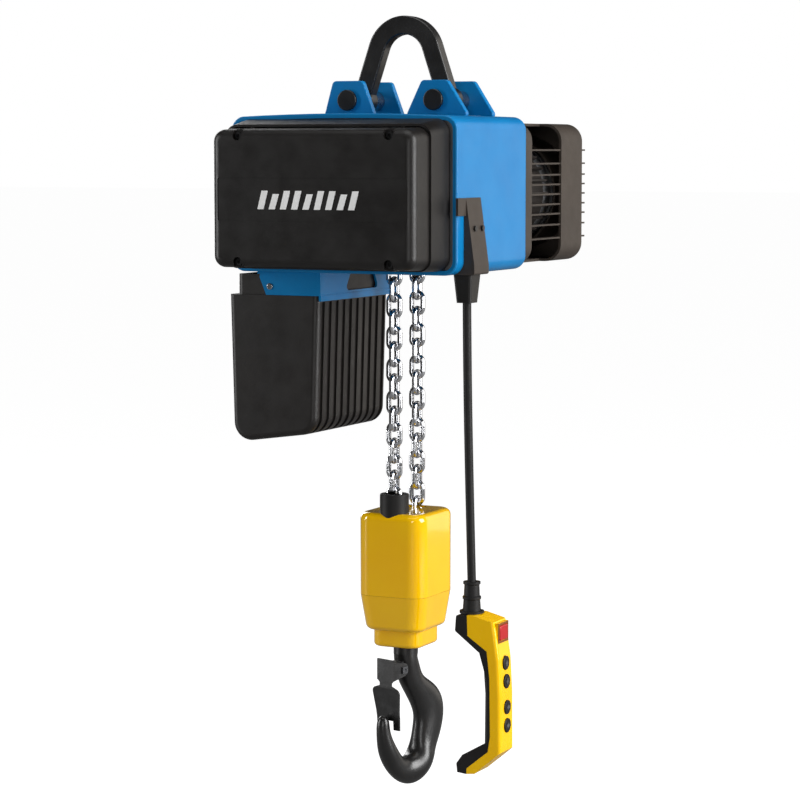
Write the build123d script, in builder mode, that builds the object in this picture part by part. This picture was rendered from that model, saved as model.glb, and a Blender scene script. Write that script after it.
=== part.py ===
from build123d import *
from math import acos, atan2, cos, degrees, hypot, pi, radians, sin, tan
import os

os.makedirs("parts", exist_ok=True)

# Electric chain hoist with two falls of chain, built as separate pieces.
# Millimetres. +Z is up along the load line, the front (black control cover) faces -Y, +X is to the right.
# The origin is where a crane's hook bears on the inside of the shackle's crown.

# ---- driving dimensions -------------------------------------------------------------------------
# load chain
chain_pitch = 21.0
chain_wire = 6.8
chain_width = 23.0
link_gap = 0.2
fall_spacing = 68.4
links_per_fall = 21
fall_top_link_z = -244.8

# main housing
housing_left = -181.0
housing_right = 138.0
housing_crown_z = -103.0
housing_bottom_z = -304.0
housing_front_y = -140.0
housing_rear_y = 80.0
housing_wall = 6.0
housing_corner = 18.0
crown_drop = 4.0
partition_front_y = -72.0
partition_rear_y = -60.0

# black covers in front of the housing
cover_seam_y = -183.0
cover_face_y = -225.0
cover_wall = 3.0

# fan cover behind the housing
fan_cover_end_y = 293.0
cage_front_y = 113.0
cage_rear_y = 214.0

# shafts, all along Y
wheel_x = -41.0
shaft_z = -206.5
motor_x = 38.0
coarse_module = 2.0
fine_module = 1.25
motor_pinion_teeth = 13
intermediate_teeth = 57
second_pinion_teeth = 12
output_teeth = 48

# suspension
lug_hole_z = -85.0
pin_spacing = 123.0
shackle_bar = 24.0
shackle_thickness = 19.0
crown_inner_radius = 28.0

# hook block and hook
block_top_z = -620.0
block_seam_z = -729.0
block_bottom_z = -776.0
collar_bottom_z = -799.0
sheave_z = -676.0
hook_turn = -16.0

# pendant
gland_x = 132.5
gland_y = -98.0
gland_mouth_z = -339.0
boot_x = 140.3
boot_top_z = -691.0
pendant_thickness = 42.0
button_travel = 2.0

# fits
running_gap = 0.05
clear = 0.4
shaft_hole_gap = 0.6

# ---- derived places -----------------------------------------------------------------------------
front_fall = (0, -fall_spacing / 2)
rear_fall = (0, fall_spacing / 2)
housing_mid_x = (housing_left + housing_right) / 2
wheel_axis = (wheel_x, shaft_z)
motor_axis = (motor_x, shaft_z)
first_stage = fine_module * (motor_pinion_teeth + intermediate_teeth) / 2
second_stage = coarse_module * (second_pinion_teeth + output_teeth) / 2
shaft_distance = motor_x - wheel_x
middle_dx = (second_stage**2 - first_stage**2 + shaft_distance**2) / (2 * shaft_distance)
middle_dz = (second_stage**2 - middle_dx**2) ** 0.5
middle_axis = (wheel_x + middle_dx, shaft_z + middle_dz)


def save(piece, name):
    """Labels a finished piece and writes its STEP file."""
    piece.part.label = name
    export_step(piece.part, f"parts/{name}.step")


def front_plane(y):
    """A sketch plane facing the front at depth y: its axes are X and Z, and -amount extrudes rearwards."""
    return Plane(origin=(0, y, 0), x_dir=(1, 0, 0), z_dir=(0, -1, 0))


def side_plane(x):
    """A sketch plane facing right at x: its axes are Y and Z."""
    return Plane(origin=(x, 0, 0), x_dir=(0, 1, 0), z_dir=(1, 0, 0))


def ring(y, centre, outer, inner=0.0):
    """A disc or ring seen from the front, centred on a shaft's (x, z)."""
    with BuildSketch(front_plane(y)) as section:
        with Locations(centre):
            Circle(outer)
            if inner:
                Circle(inner, mode=Mode.SUBTRACT)
    return section.sketch


def rounded_rect(plane, left, right, bottom, top, radius):
    """A rounded rectangle given by its four sides."""
    with BuildSketch(plane) as section:
        with Locations(((left + right) / 2, (bottom + top) / 2)):
            RectangleRounded(right - left, top - bottom, radius)
    return section.sketch


def housing_section(y, inset):
    """The housing's outline with its gently crowned top, drawn in by inset."""
    shoulder_z = housing_crown_z - crown_drop
    with BuildSketch(front_plane(y)) as section:
        with BuildLine():
            Polyline(
                (housing_left, shoulder_z),
                (housing_left, housing_bottom_z),
                (housing_right, housing_bottom_z),
                (housing_right, shoulder_z),
            )
            ThreePointArc(
                (housing_right, shoulder_z),
                (housing_mid_x, housing_crown_z),
                (housing_left, shoulder_z),
            )
        make_face()
        fillet(section.vertices(), housing_corner)
        if inset:
            offset(amount=-inset, mode=Mode.REPLACE)
    return section.sketch


def chain_link(plane, centre_z):
    """One chain link as a round wire swept round a slot, upright in the given plane."""
    bend = (chain_width - chain_wire) / 2
    reach = (chain_pitch + link_gap + chain_wire) / 2 - bend
    with BuildPart() as link:
        with BuildLine(plane) as path:
            right = Line((bend, centre_z - reach), (bend, centre_z + reach))
            top = ThreePointArc(right @ 1, (0, centre_z + reach + bend), (-bend, centre_z + reach))
            left = Line(top @ 1, (-bend, centre_z - reach))
            ThreePointArc(left @ 1, (0, centre_z - reach - bend), right @ 0)
        with BuildSketch(Plane(origin=right @ 0, z_dir=(0, 0, 1))):
            Circle(chain_wire / 2)
        sweep(path=path.line)
    return link.part


def gear_face(y, centre, teeth, module, tooth_angle):
    """A spur gear's face with straight-flanked teeth, one of them centred on tooth_angle (degrees)."""
    pitch_radius = module * teeth / 2
    root = pitch_radius - 1.2 * module
    tip = pitch_radius + 0.85 * module
    root_width = 0.58 * pi * module
    tip_width = 0.20 * pi * module
    sink = 0.3 * module
    with BuildSketch(front_plane(y)) as section:
        with Locations(centre):
            Circle(root)
            with PolarLocations(0, teeth, start_angle=tooth_angle):
                Polygon(
                    (root - sink, -root_width / 2),
                    (tip, -tip_width / 2),
                    (tip, tip_width / 2),
                    (root - sink, root_width / 2),
                    align=None,
                )
    return section.sketch


# ---- housing and suspension ---------------------------------------------------------------------
pin_radius = 8.0
lug_thickness = 9.0
lug_outer_y = 46.0
lug_top_z = -60.0
lug_foot_z = -109.0
left_lug = [(-97, lug_foot_z), (-83, lug_top_z), (-40, lug_top_z), (-21, lug_foot_z)]
right_lug = [(20, lug_foot_z), (44, lug_top_z), (80, lug_top_z), (112, lug_foot_z)]
guide_left, guide_right, guide_half = -103.0, 20.0, 56.0
small_bearing, large_bearing = 13.0, 21.0
bearing_depth = 8.0
power_gland_place = (30.0, -250.0)

with BuildPart() as housing:
    extrude(housing_section(housing_front_y, 0), amount=housing_front_y - housing_rear_y)
    fillet(housing.faces().sort_by(Axis.Y)[-1].edges(), 8)
    fillet(housing.faces().sort_by(Axis.Y)[0].edges(), 2.5)
    extrude(
        housing_section(housing_front_y, housing_wall),
        amount=housing_front_y - partition_front_y,
        mode=Mode.SUBTRACT,
    )
    extrude(
        housing_section(partition_rear_y, housing_wall),
        amount=partition_rear_y - housing_rear_y,
        mode=Mode.SUBTRACT,
    )
    # seats for the bearings in the partition, and the shafts' way through it
    for axis, seat, bore in (
        (middle_axis, small_bearing, 6.0),
        (motor_axis, small_bearing, 10.0),
        (wheel_axis, large_bearing, 14.0),
    ):
        extrude(ring(partition_front_y, axis, seat), amount=-bearing_depth, mode=Mode.SUBTRACT)
        extrude(
            ring(partition_front_y, axis, bore),
            amount=partition_front_y - partition_rear_y,
            mode=Mode.SUBTRACT,
        )
    # opening for the chain guide in the floor
    with BuildSketch(Plane.XY.offset(housing_bottom_z)):
        with Locations(((guide_left + guide_right) / 2, 0)):
            RectangleRounded(guide_right - guide_left, 2 * guide_half, 8)
    extrude(amount=housing_wall, mode=Mode.SUBTRACT)
    # hole for the power inlet gland in the left wall
    with BuildSketch(side_plane(housing_left)):
        with Locations(power_gland_place):
            Circle(10)
    extrude(amount=housing_wall, mode=Mode.SUBTRACT)
save(housing, "housing")

with BuildPart() as suspension_lugs:
    for lug_front_y in (-lug_outer_y, lug_outer_y - lug_thickness):
        for lug_outline in (left_lug, right_lug):
            with BuildSketch(front_plane(lug_front_y)) as lug:
                Polygon(*lug_outline, align=None)
                fillet(lug.vertices().group_by(Axis.Z)[-1], 6)
            extrude(amount=-lug_thickness)
    fillet(suspension_lugs.faces().filter_by(Axis.Y).edges(), 1.5)
    # pin holes through both pairs of lugs
    for side in (-1, 1):
        extrude(
            ring(-lug_outer_y - 1, (side * pin_spacing / 2, lug_hole_z), pin_radius + running_gap),
            amount=-2 * lug_outer_y - 2,
            mode=Mode.SUBTRACT,
        )
    extrude(housing_section(-lug_outer_y - 1, -0.05), amount=-2 * lug_outer_y - 2, mode=Mode.SUBTRACT)
save(suspension_lugs, "suspension_lugs")

pin_half_span = pin_spacing / 2
arm_reach = hypot(pin_half_span, lug_hole_z + crown_inner_radius)
crown_mid_radius = crown_inner_radius + shackle_bar / 2
arm_angle = atan2(lug_hole_z + crown_inner_radius, pin_half_span) + acos(crown_mid_radius / arm_reach)
arm_x = crown_mid_radius * cos(arm_angle)
arm_z = -crown_inner_radius + crown_mid_radius * sin(arm_angle)

with BuildPart() as shackle:
    with BuildSketch(front_plane(-shackle_thickness / 2)) as shackle_outline:
        with BuildLine() as bow:
            Line((-pin_half_span, lug_hole_z), (-arm_x, arm_z))
            ThreePointArc((-arm_x, arm_z), (0, crown_mid_radius - crown_inner_radius), (arm_x, arm_z))
            Line((arm_x, arm_z), (pin_half_span, lug_hole_z))
        SlotArc(bow.wire(), shackle_bar)
        with GridLocations(pin_spacing, 0, 2, 1):
            with Locations((0, lug_hole_z)):
                Circle(17)
                Circle(pin_radius + running_gap, mode=Mode.SUBTRACT)
    extrude(amount=-shackle_thickness)
    fillet(shackle.edges().group_by(Axis.Y)[0] + shackle.edges().group_by(Axis.Y)[-1], 2.5)
save(shackle, "shackle")

pin_head_radius = 13.5
pin_head_height = 4.0
pin_end_y = 51.0
groove_y, groove_width = 47.6, 1.5

with BuildPart() as shackle_pins:
    for side in (-1, 1):
        centre = (side * pin_half_span, lug_hole_z)
        extrude(ring(-lug_outer_y - pin_head_height, centre, pin_head_radius), amount=-pin_head_height)
        extrude(ring(-lug_outer_y, centre, pin_radius), amount=-lug_outer_y - pin_end_y)
        extrude(
            ring(groove_y, centre, pin_radius + 1, pin_radius - 1), amount=-groove_width, mode=Mode.SUBTRACT
        )
    fillet(shackle_pins.edges().group_by(Axis.Y)[0], 1.5)
save(shackle_pins, "shackle_pins")

with BuildPart() as shackle_snap_rings:
    for side in (-1, 1):
        centre = (side * pin_half_span, lug_hole_z)
        extrude(ring(groove_y + 0.1, centre, 11.5, pin_radius - 0.9), amount=-groove_width + 0.2)
        with Locations((side * pin_half_span, groove_y, lug_hole_z - 10)):
            Box(3, 8, 8, mode=Mode.SUBTRACT)
save(shackle_snap_rings, "shackle_snap_rings")

with BuildPart() as shackle_spacers:
    spacer_start = shackle_thickness / 2 + 0.2
    spacer_length = lug_outer_y - lug_thickness - 0.2 - spacer_start
    for side in (-1, 1):
        for start in (spacer_start, -spacer_start - spacer_length):
            extrude(
                ring(start, (side * pin_half_span, lug_hole_z), 12.5, pin_radius + running_gap),
                amount=-spacer_length,
            )
save(shackle_spacers, "shackle_spacers")

# ---- gearbox ------------------------------------------------------------------------------------
gearbox_cover_front_y = -134.0
gearbox_cover_back_y = -126.0
boss_back_y = -121.0

with BuildPart() as gearbox_cover:
    extrude(
        housing_section(gearbox_cover_front_y, housing_wall + clear),
        amount=gearbox_cover_front_y - gearbox_cover_back_y,
    )
    extrude(ring(gearbox_cover_back_y, middle_axis, 18), amount=gearbox_cover_back_y - boss_back_y)
    extrude(ring(boss_back_y, middle_axis, small_bearing), amount=bearing_depth, mode=Mode.SUBTRACT)
save(gearbox_cover, "gearbox_cover")

gear_shaft_radius = 5.0
motor_journal = 8.0
wheel_journal = 12.0
first_gear_y, first_gear_width = -119.0, 12.0
second_gear_y, second_gear_width = -101.0, 17.0
flange_front_y, flange_back_y = 62.0, 79.0
rear_bearing_y = 207.0
end_bearing_radius = 16.0

with BuildPart() as shaft_bearings:
    for axis, start, outer, bore in (
        (middle_axis, boss_back_y - bearing_depth, small_bearing, gear_shaft_radius),
        (middle_axis, partition_front_y, small_bearing, gear_shaft_radius),
        (motor_axis, partition_front_y, small_bearing, motor_journal),
        (motor_axis, rear_bearing_y, end_bearing_radius, motor_journal),
        (wheel_axis, partition_front_y, large_bearing, wheel_journal),
        (wheel_axis, flange_front_y, end_bearing_radius, motor_journal),
    ):
        extrude(ring(start, axis, outer, bore + running_gap), amount=-bearing_depth)
save(shaft_bearings, "shaft_bearings")

to_middle = degrees(atan2(middle_dz, middle_dx))
from_motor = degrees(atan2(middle_axis[1] - shaft_z, middle_axis[0] - motor_x))

with BuildPart() as intermediate_gear:
    extrude(
        gear_face(
            first_gear_y,
            middle_axis,
            intermediate_teeth,
            fine_module,
            from_motor + 180 + 180 / intermediate_teeth,
        ),
        amount=-first_gear_width,
    )
    extrude(
        gear_face(second_gear_y - 1, middle_axis, second_pinion_teeth, coarse_module, to_middle + 180),
        amount=-second_gear_width - 2,
    )
    shaft_front = boss_back_y - bearing_depth + 0.5
    extrude(
        ring(shaft_front, middle_axis, gear_shaft_radius),
        amount=shaft_front - partition_front_y - bearing_depth,
    )
    gear_end = first_gear_y + first_gear_width
    extrude(ring(gear_end, middle_axis, 8), amount=gear_end - second_gear_y)
save(intermediate_gear, "intermediate_gear")

with BuildPart() as output_gear:
    extrude(
        gear_face(second_gear_y, wheel_axis, output_teeth, coarse_module, to_middle + 180 / output_teeth),
        amount=-second_gear_width,
    )
    extrude(
        ring(second_gear_y, wheel_axis, wheel_journal + 0.02), amount=-second_gear_width, mode=Mode.SUBTRACT
    )
    # lightening holes in the web
    with BuildSketch(front_plane(second_gear_y)):
        with Locations(wheel_axis):
            with PolarLocations(29, 6):
                Circle(8)
    extrude(amount=-second_gear_width, mode=Mode.SUBTRACT)
save(output_gear, "output_gear")

# ---- chain, load wheel and guide ----------------------------------------------------------------
wheel_y = -fall_spacing / 2
groove_half, shoulder_half, flange_half = 4.8, 12.3, 15.5
wheel_reach = -wheel_x
upright_clearance = chain_width / 2 + 0.8
flat_clearance = chain_wire / 2 + 0.8
pockets = 6

with BuildPart() as load_wheel:
    extrude(ring(wheel_y - flange_half, wheel_axis, wheel_reach - upright_clearance), amount=-2 * flange_half)
    for side in (-1, 1):
        shoulder_y = wheel_y + (groove_half if side > 0 else -shoulder_half)
        extrude(
            ring(shoulder_y, wheel_axis, wheel_reach - flat_clearance), amount=groove_half - shoulder_half
        )
        flange_y = wheel_y + (shoulder_half if side > 0 else -flange_half)
        extrude(ring(flange_y, wheel_axis, wheel_reach + 4), amount=shoulder_half - flange_half)
    # pockets that seat the flat links
    with BuildSketch(front_plane(wheel_y - shoulder_half)):
        with Locations(wheel_axis):
            with PolarLocations(wheel_reach - flat_clearance, pockets):
                Rectangle(5, 24)
    extrude(amount=-2 * shoulder_half, mode=Mode.SUBTRACT)
    extrude(
        ring(second_gear_y - 1, wheel_axis, wheel_journal), amount=second_gear_y - 1 - wheel_y
    )
    extrude(ring(wheel_y, wheel_axis, motor_journal), amount=wheel_y - flange_front_y - bearing_depth)
save(load_wheel, "load_wheel")

for fall, name in ((front_fall, "front_chain_fall"), (rear_fall, "rear_chain_fall")):
    with BuildPart() as chain_fall:
        for number in range(links_per_fall):
            faces_front = number % 2 == 1
            upright = Plane(
                origin=(*fall, 0),
                x_dir=(1, 0, 0) if faces_front else (0, 1, 0),
                z_dir=(0, -1, 0) if faces_front else (1, 0, 0),
            )
            add(chain_link(upright, fall_top_link_z - number * chain_pitch))
    save(chain_fall, name)

chain_hole = chain_width / 2 + 1.5
guide_flange = 5.0
guide_depth = 116.0
tail_x = wheel_x - wheel_reach

with BuildPart() as chain_guide:
    with BuildSketch(Plane.XY.offset(housing_bottom_z)):
        with Locations(((guide_left + guide_right) / 2, 0)):
            RectangleRounded(guide_right - guide_left - 2 * clear, 2 * (guide_half - clear), 7.5)
    extrude(amount=housing_wall)
    with BuildSketch(Plane.XY.offset(housing_bottom_z + housing_wall)):
        with Locations(((guide_left + guide_right) / 2, 0)):
            RectangleRounded(guide_right - guide_left + 2 * guide_flange, guide_depth, 7.5)
    extrude(amount=3)
    with BuildSketch(Plane.XY.offset(housing_bottom_z)):
        with Locations(front_fall, rear_fall, (tail_x, front_fall[1])):
            Circle(chain_hole)
    extrude(amount=2 * housing_wall, mode=Mode.SUBTRACT)
save(chain_guide, "chain_guide")

anchor_bottom_z, anchor_top_z = -129.0, -110.0

with BuildPart() as chain_anchor:
    for cheek_x in (-10, 10):
        with Locations((cheek_x, rear_fall[1], (anchor_bottom_z + anchor_top_z) / 2)):
            Box(6, 22, anchor_top_z - anchor_bottom_z)
    with Locations((0, rear_fall[1], anchor_top_z - 2)):
        Box(26, 22, 4)
    with Locations((0, rear_fall[1], anchor_bottom_z + 7)):
        Cylinder(4, 32, rotation=(0, 90, 0))
save(chain_anchor, "chain_anchor")

# ---- chain container and its bracket ------------------------------------------------------------
bracket_left, bracket_right = -148.0, -57.0
bracket_front, bracket_back = -132.0, 71.0
bracket_top_z, bracket_bottom_z = housing_bottom_z - 0.3, -334.0
bracket_sheet = 3.0
rivet_places = [(-130.0, -323.0)]

with BuildPart() as container_bracket:
    with BuildSketch(Plane.XY.offset(bracket_top_z)):
        with Locations(((bracket_left + bracket_right) / 2, (bracket_front + bracket_back) / 2)):
            Rectangle(bracket_right - bracket_left, bracket_back - bracket_front)
        with Locations((-84, -5)):
            Rectangle(42, 90, mode=Mode.SUBTRACT)
    extrude(amount=-bracket_sheet)
    for plate_y in (bracket_front, bracket_back - bracket_sheet):
        with BuildSketch(front_plane(plate_y)) as end_plate:
            Polygon(
                (bracket_left, bracket_top_z),
                (bracket_left + 12.5, bracket_bottom_z),
                (bracket_right, bracket_bottom_z),
                (bracket_right, bracket_top_z),
                align=None,
            )
            fillet(end_plate.vertices().sort_by(Axis.Z)[:2].sort_by(Axis.X)[0], 6)
            with Locations(*rivet_places):
                Circle(2.6, mode=Mode.SUBTRACT)
        extrude(amount=-bracket_sheet)
    with BuildSketch(side_plane(bracket_right - bracket_sheet)):
        with Locations(((bracket_front + bracket_back) / 2, (bracket_top_z + bracket_bottom_z) / 2)):
            Rectangle(bracket_back - bracket_front, bracket_top_z - bracket_bottom_z)
        with BuildSketch(mode=Mode.SUBTRACT) as window:
            Polygon((-62, -330), (-48, -309), (22, -309), (34, -330), align=None)
            fillet(window.vertices(), 5)
    extrude(amount=bracket_sheet)
    # lip over the container's ribbed side
    with Locations(
        (bracket_right - 0.5, (bracket_front + bracket_back) / 2, bracket_bottom_z - 3)
    ):
        Box(3, bracket_back - bracket_front, 7.4)
save(container_bracket, "container_bracket")

with BuildPart() as container_rivets:
    for place in rivet_places:
        for head_y, plate_y in ((bracket_front - 1.6, bracket_front), (bracket_back, bracket_back - 6)):
            extrude(ring(head_y, place, 4.2), amount=-1.6)
        extrude(ring(bracket_front, place, 2.5), amount=-8)
        extrude(ring(bracket_back - 8, place, 2.5), amount=-8)
    fillet(container_rivets.edges().group_by(Axis.Y)[0], 1.0)
save(container_rivets, "container_rivets")

container_top_z = bracket_bottom_z - 0.4
container_depth_z = -532.0
floor_slope = 0.137
floor_place = (-160.0, -523.6)
neck_wall = 3.0
container_wall = 4.0
floor_round = 24.0
wall_round = 8.0


def container_section(z, left, right, front, back, inset):
    """One level of the container's body, drawn in by inset."""
    with BuildSketch(Plane.XY.offset(z)) as section:
        with Locations(((left + right) / 2, (front + back) / 2)):
            Rectangle(right - left - 2 * inset, back - front - 2 * inset)
    return section.sketch


def container_body(inset):
    """The container's tapered body with its slanted, round-edged floor, drawn in by inset."""
    with BuildPart() as body:
        loft(
            [
                container_section(container_top_z - inset, -191, -59.8, -131.6, 69, inset),
                container_section(container_depth_z, -186, -66, -131, 69, inset),
            ]
        )
        split(
            bisect_by=Plane(
                origin=(floor_place[0], 0, floor_place[1] + inset),
                x_dir=(1, 0, floor_slope),
                z_dir=(-floor_slope, 0, 1),
            ),
            keep=Keep.TOP,
        )
        floor_edges = [edge for edge in body.edges() if edge.center().Z < -500]
        fillet([edge for edge in floor_edges if edge.bounding_box().size.Y > 100], floor_round - inset)
        fillet([edge for edge in body.edges() if edge.bounding_box().size.Z > 60], wall_round - inset)
    return body.part


rib_pitch = 19.2
groove_count = 10
first_groove_y = -117.6
groove_width = 8.4
groove_depth = 2.6

with BuildPart() as chain_container:
    add(container_body(0))
    neck_top_z = bracket_top_z - bracket_sheet - 0.5
    extrude(
        rounded_rect(Plane.XY.offset(container_top_z), -180, -61, -128.4, 67, 8),
        amount=neck_top_z - container_top_z,
    )
    add(container_body(container_wall), mode=Mode.SUBTRACT)
    extrude(
        rounded_rect(
            Plane.XY.offset(container_top_z - container_wall - 1),
            -180 + neck_wall,
            -61 - neck_wall,
            -128.4 + neck_wall,
            67 - neck_wall,
            5,
        ),
        amount=neck_top_z - container_top_z + container_wall + 1,
        mode=Mode.SUBTRACT,
    )
    # grooves between the ribs of the right-hand side, running round under the floor
    with BuildPart(mode=Mode.PRIVATE) as grooves:
        for number in range(groove_count):
            with Locations((-60, first_groove_y + number * rib_pitch, -440)):
                Box(64, groove_width, 196)
        with BuildPart(mode=Mode.PRIVATE) as skin:
            add(container_body(0))
            add(container_body(groove_depth), mode=Mode.SUBTRACT)
        add(skin.part, mode=Mode.INTERSECT)
    add(grooves.part, mode=Mode.SUBTRACT)
    for place in rivet_places:
        extrude(ring(-129, place, 2.6), amount=-8, mode=Mode.SUBTRACT)
        extrude(ring(62, place, 2.6), amount=-8, mode=Mode.SUBTRACT)
save(chain_container, "chain_container")

tail_links = 13
row_links = 7
with BuildPart() as slack_chain:
    for number in range(tail_links):
        upright = Plane(
            origin=(tail_x, wheel_y, 0),
            x_dir=(1, 0, 0) if number % 2 else (0, 1, 0),
            z_dir=(0, -1, 0) if number % 2 else (1, 0, 0),
        )
        add(chain_link(upright, shaft_z - number * chain_pitch))
    for row in range(4):
        row_x = -84 - row * 26
        row_z = floor_place[1] + (row_x - floor_place[0]) * floor_slope + 19
        for number in range(row_links):
            upright = Plane(
                origin=(0, 0, 0),
                x_dir=(1, 0, 0) if number % 2 else (0, 1, 0),
                z_dir=(0, -1, 0) if number % 2 else (1, 0, 0),
            )
            with Locations(Location((row_x, -95 + number * chain_pitch, row_z), (90, 0, 0))):
                add(chain_link(upright, 0))
save(slack_chain, "slack_chain")

# ---- motor, brake and fan -----------------------------------------------------------------------
stator_front, stator_back = 96.0, 184.0
rotor_radius = 38.9
stator_bore = 39.4
stator_radius = 66.0
frame_radius = 69.0
frame_back_y = 206.0
coil_back_y = 231.0
armature_thickness = 5.0
coil_gap = 0.8
brake_disc_y = 237.2
brake_disc_back = 243.0
brake_plate_y = 243.4
brake_plate_back = 248.0
fan_front, fan_back = 253.0, 280.0

with BuildPart() as motor_flange:
    extrude(
        housing_section(67, housing_wall + clear),
        amount=67 - flange_back_y,
    )
    extrude(ring(flange_front_y - 2, wheel_axis, 22), amount=flange_front_y - 2 - 67)
    extrude(
        ring(flange_front_y - 2, wheel_axis, end_bearing_radius),
        amount=-bearing_depth - 2,
        mode=Mode.SUBTRACT,
    )
    extrude(ring(66, motor_axis, 14), amount=-20, mode=Mode.SUBTRACT)
save(motor_flange, "motor_flange")

with BuildPart() as motor_frame:
    extrude(
        ring(flange_back_y + 0.2, motor_axis, frame_radius, stator_radius + running_gap),
        amount=flange_back_y - frame_back_y,
    )
    with BuildSketch(front_plane(flange_back_y + 4)):
        with Locations(motor_axis):
            with PolarLocations(frame_radius + 4, 28):
                Rectangle(10, 2.6)
    extrude(amount=flange_back_y + 8 - frame_back_y)
save(motor_frame, "motor_frame")

with BuildPart() as stator:
    extrude(ring(stator_front, motor_axis, stator_radius, stator_bore), amount=stator_front - stator_back)
    for start, end in ((flange_back_y + 6, stator_front - 0.2), (stator_back + 0.2, 198)):
        extrude(ring(start, motor_axis, 60, 45), amount=start - end)
save(stator, "stator")

with BuildPart() as rotor:
    extrude(ring(stator_front, motor_axis, rotor_radius, 10.0), amount=stator_front - stator_back)
    for start, end in ((stator_front - 6, stator_front), (stator_back, stator_back + 6)):
        extrude(ring(start, motor_axis, 36, 20), amount=start - end)
save(rotor, "rotor")

with BuildPart() as motor_shaft:
    extrude(
        gear_face(first_gear_y - 1, motor_axis, motor_pinion_teeth, fine_module, from_motor),
        amount=-first_gear_width - 2,
    )
    pinion_back = first_gear_y + first_gear_width + 1
    extrude(ring(pinion_back, motor_axis, 6), amount=pinion_back - partition_front_y)
    extrude(ring(partition_front_y, motor_axis, motor_journal), amount=partition_front_y - flange_front_y)
    extrude(ring(flange_front_y, motor_axis, 9.98), amount=flange_front_y - rear_bearing_y + 1)
    extrude(ring(rear_bearing_y - 1, motor_axis, motor_journal), amount=rear_bearing_y - 1 - fan_back - 4)
save(motor_shaft, "motor_shaft")

with BuildPart() as brake_coil:
    extrude(
        ring(frame_back_y + 0.4, motor_axis, 68, motor_journal + shaft_hole_gap),
        amount=frame_back_y - coil_back_y,
    )
    extrude(ring(frame_back_y + 1, motor_axis, end_bearing_radius), amount=-bearing_depth, mode=Mode.SUBTRACT)
    # ring groove of the winding
    extrude(ring(coil_back_y - 9, motor_axis, 46, 30), amount=-12, mode=Mode.SUBTRACT)
    # posts that carry the fixed friction plate
    with BuildSketch(front_plane(coil_back_y - 1)):
        with Locations(motor_axis):
            with PolarLocations(64, 3, start_angle=90):
                Circle(3.5)
    extrude(amount=coil_back_y - 1 - brake_plate_back)
    extrude(ring(brake_plate_y, motor_axis, 67, 20), amount=brake_plate_y - brake_plate_back)
save(brake_coil, "brake_coil")

with BuildPart() as brake_armature:
    armature_y = coil_back_y + coil_gap + 0.4
    extrude(ring(armature_y, motor_axis, 59, 14), amount=-armature_thickness)
save(brake_armature, "brake_armature")

with BuildPart() as brake_disc:
    extrude(
        ring(brake_disc_y + 0.4, motor_axis, 58, motor_journal + 0.02),
        amount=brake_disc_y + 0.4 - brake_disc_back,
    )
save(brake_disc, "brake_disc")

blade_count = 9
with BuildPart() as cooling_fan:
    extrude(ring(fan_front, motor_axis, 18, motor_journal + 0.02), amount=fan_front - fan_back)
    extrude(ring(fan_front, motor_axis, 70, 16), amount=-2.5)
    with BuildSketch(front_plane(fan_front + 2)):
        with Locations(motor_axis):
            with PolarLocations(0, blade_count):
                Polygon((16, -1.2), (70, 8.8), (70, 11.2), (16, 1.2), align=None)
    extrude(amount=fan_front + 2 - fan_back)
save(cooling_fan, "cooling_fan")

# ---- fan cover and guard ------------------------------------------------------------------------
fan_cover_start = housing_rear_y + 0.2
fan_left, fan_right = -173.0, 130.0
fan_bottom, fan_top = -299.5, -113.5
fan_corner = 24.0
fan_wall = 3.5
slat_heights = [-149, -167, -182, -195, -208, -221.5, -234.5, -249, -267]
guard_radius = 84.0
duct_radius = 76.0
duct_front_y = 224.0
guard_back_y = 306.0

with BuildPart() as fan_cover:
    extrude(
        rounded_rect(front_plane(fan_cover_start), fan_left, fan_right, fan_bottom, fan_top, fan_corner),
        amount=fan_cover_start - fan_cover_end_y,
    )
    fillet(fan_cover.edges().group_by(Axis.Y)[-1], 6)
    extrude(
        rounded_rect(
            front_plane(fan_cover_start),
            fan_left + fan_wall,
            fan_right - fan_wall,
            fan_bottom + fan_wall,
            fan_top - fan_wall,
            fan_corner - fan_wall,
        ),
        amount=fan_cover_start - fan_cover_end_y + fan_wall,
        mode=Mode.SUBTRACT,
    )
    # open sides with their slats
    for side in (-1, 1):
        edge_x = fan_right if side > 0 else fan_left
        with Locations((edge_x - side * 14, (cage_front_y + cage_rear_y) / 2, shaft_z)):
            Box(36, cage_rear_y - cage_front_y, 200, mode=Mode.SUBTRACT)
        for height in slat_heights:
            with Locations((edge_x - side * 6.6, (cage_front_y + cage_rear_y) / 2, height)):
                Box(11, cage_rear_y - cage_front_y + 4, 2.2)
            with Locations((edge_x - side * 15, fan_cover_end_y + 3, height)):
                Box(28, 11, 2.2)
    # inner wall beside the motor and the duct round the fan
    with Locations((motor_x - 84, (fan_cover_start + fan_cover_end_y) / 2, shaft_z)):
        Box(3, fan_cover_end_y - fan_cover_start - 2, fan_top - fan_bottom - 2)
    extrude(
        ring(duct_front_y, motor_axis, duct_radius + 3, duct_radius),
        amount=duct_front_y - fan_cover_end_y + 1,
    )
    extrude(ring(fan_cover_end_y - 10, motor_axis, duct_radius), amount=-20, mode=Mode.SUBTRACT)
    extrude(ring(fan_cover_end_y, motor_axis, guard_radius + clear), amount=-20, mode=Mode.SUBTRACT)
save(fan_cover, "fan_cover")

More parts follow.
